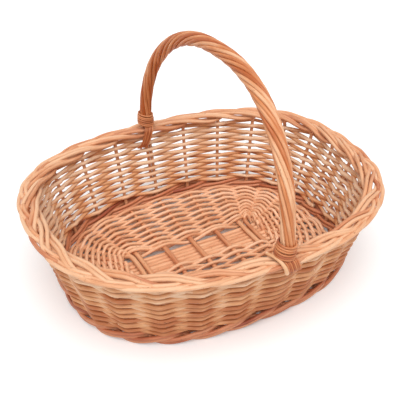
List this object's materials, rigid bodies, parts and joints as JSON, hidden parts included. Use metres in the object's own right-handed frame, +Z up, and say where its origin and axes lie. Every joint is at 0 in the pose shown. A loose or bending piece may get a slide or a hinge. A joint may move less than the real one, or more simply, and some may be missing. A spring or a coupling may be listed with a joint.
{
  "type": "mushroom foraging basket",
  "caption": "Oval woven willow basket with a stick-and-weave base, flaring randed wall, plaited border and a rope-wrapped hoop handle bound at both feet.",
  "frame": {"origin": "middle of the outer box, on the plane that the basket stands on", "axes": "+X along the basket's long way, +Y across it towards the back handle foot, +Z up"},
  "size_m": [0.4202, 0.3592, 0.2812],
  "materials": {
    "willow_pale": "satin",
    "willow_warm": "satin",
    "willow_tan": "satin",
    "willow_red": "satin",
    "willow_brown": "satin"
  },
  "bodies": {
    "root": {"long_stick_1": "willow_pale", "long_stick_2": "willow_pale", "long_stick_3": "willow_pale", "long_stick_4": "willow_pale", "long_stick_5": "willow_pale", "long_stick_6": "willow_pale", "cross_stick_1": "willow_warm", "cross_stick_2": "willow_warm", "cross_stick_3": "willow_warm", "cross_stick_4": "willow_warm", "cross_stick_5": "willow_warm", "cross_stick_6": "willow_warm", "cross_stick_7": "willow_warm", "floor_weaver_1": "willow_pale", "floor_weaver_2": "willow_pale", "foot_wale_1": "willow_red", "foot_wale_2": "willow_red", "foot_wale_3": "willow_red", "stake_01": "willow_warm", "stake_02": "willow_warm", "stake_03": "willow_warm", "stake_04": "willow_warm", "stake_05": "willow_warm", "stake_06": "willow_warm", "stake_07": "willow_warm", "stake_08": "willow_warm", "stake_09": "willow_warm", "stake_10": "willow_warm", "stake_11": "willow_warm", "stake_12": "willow_warm", "stake_13": "willow_warm", "stake_14": "willow_warm", "stake_15": "willow_warm", "stake_16": "willow_warm", "stake_17": "willow_warm", "stake_18": "willow_warm", "stake_19": "willow_warm", "stake_20": "willow_warm", "stake_21": "willow_warm", "stake_22": "willow_warm", "stake_23": "willow_warm", "stake_24": "willow_warm", "stake_25": "willow_warm", "stake_26": "willow_warm", "wall_weaver_1": "willow_tan", "wall_weaver_2": "willow_tan", "handle_core": "willow_brown", "handle_wrap_1": "willow_warm", "handle_wrap_2": "willow_warm", "binding_back": "willow_brown", "binding_front": "willow_brown", "lashing_back": "willow_brown", "lashing_front": "willow_brown", "rim_peg": "willow_red"}
  },
  "joints": []
}
